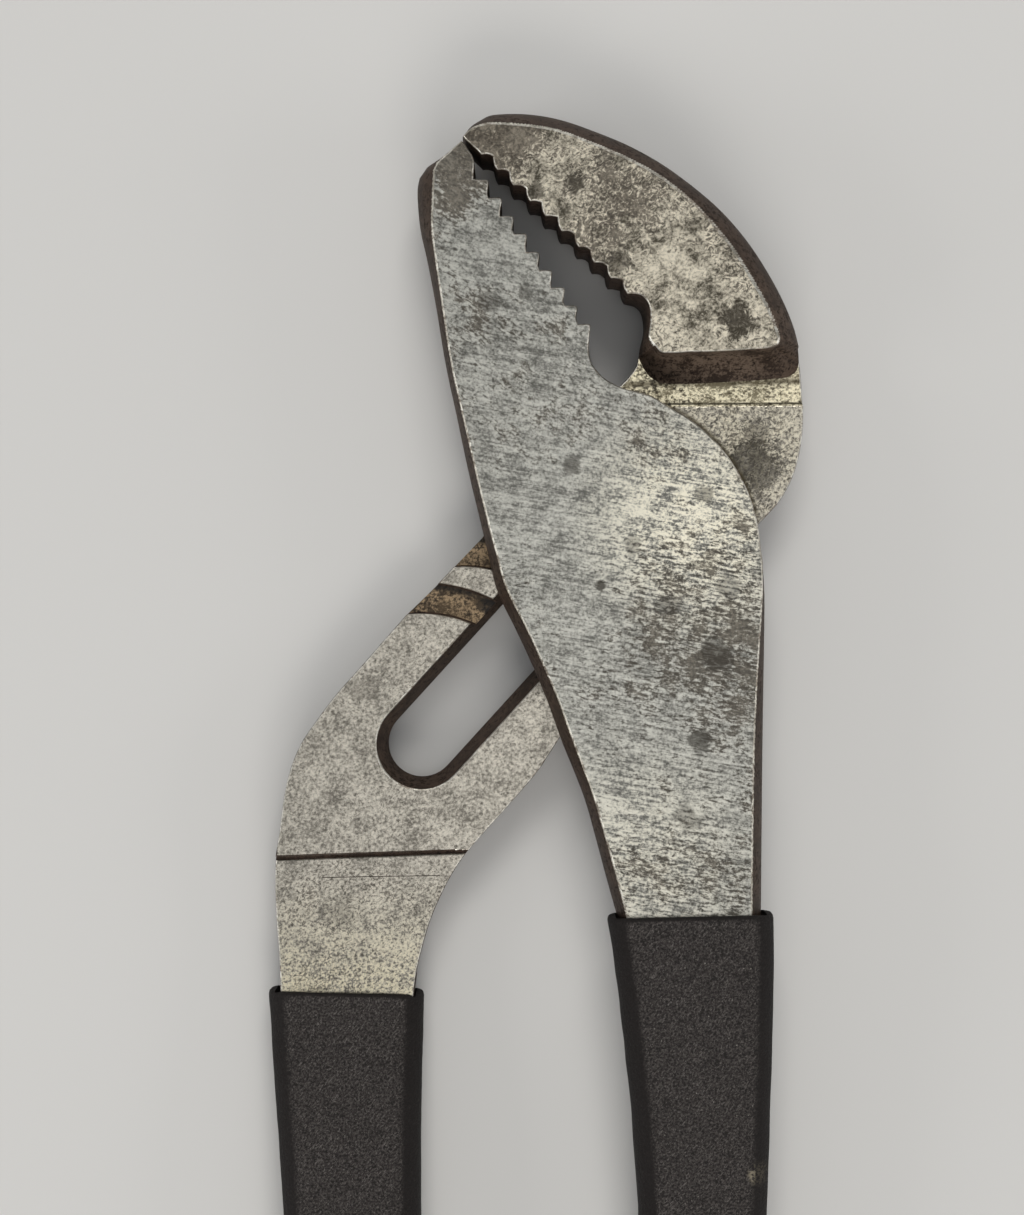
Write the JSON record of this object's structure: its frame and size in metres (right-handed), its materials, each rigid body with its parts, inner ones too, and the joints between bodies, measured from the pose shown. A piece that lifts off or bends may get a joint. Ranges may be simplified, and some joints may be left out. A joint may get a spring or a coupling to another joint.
{
  "type": "groove-joint slip pliers",
  "caption": "Adjustable tongue-and-groove slip pliers with curved serrated jaws, a slotted limb with arc grooves, and sleeved handles, lying flat.",
  "frame": {"origin": "on the pivot axis, at the plane the tool rests on: the flat end of the pivot stud", "axes": "+Y towards the jaws along the handles, +X to the right seen from the ground front face, +Z along the pivot axis from the nut to the ground front face"},
  "size_m": [0.0773, 0.2517, 0.016],
  "materials": {
    "ground_steel": "ground flat face, worn and tarnished, dark forged sides",
    "satin_steel": "worn satin plate, grime in the grooves",
    "fastener_steel": "dark plain steel",
    "foam_rubber": "matt black, fine grained"
  },
  "bodies": {
    "slotted": {"slotted_jaw_member": "satin_steel", "slotted_grip": "foam_rubber"},
    "slider": {"thrust_washer": "fastener_steel"},
    "front": {"front_jaw_member": "ground_steel", "front_grip": "foam_rubber", "pivot_stud": "fastener_steel", "pivot_nut": "fastener_steel"}
  },
  "joints": [
    {"name": "groove_shift", "type": "slide", "parent": "slotted", "child": "slider", "axis": [-0.6735, -0.7392, 0], "range_m": [0, 0.03652]},
    {"name": "handle_pivot", "type": "hinge", "parent": "slider", "child": "front", "pos_m": [0, 0, 0.008], "axis": [0, 0, 1], "range_deg": [0, 60]}
  ]
}
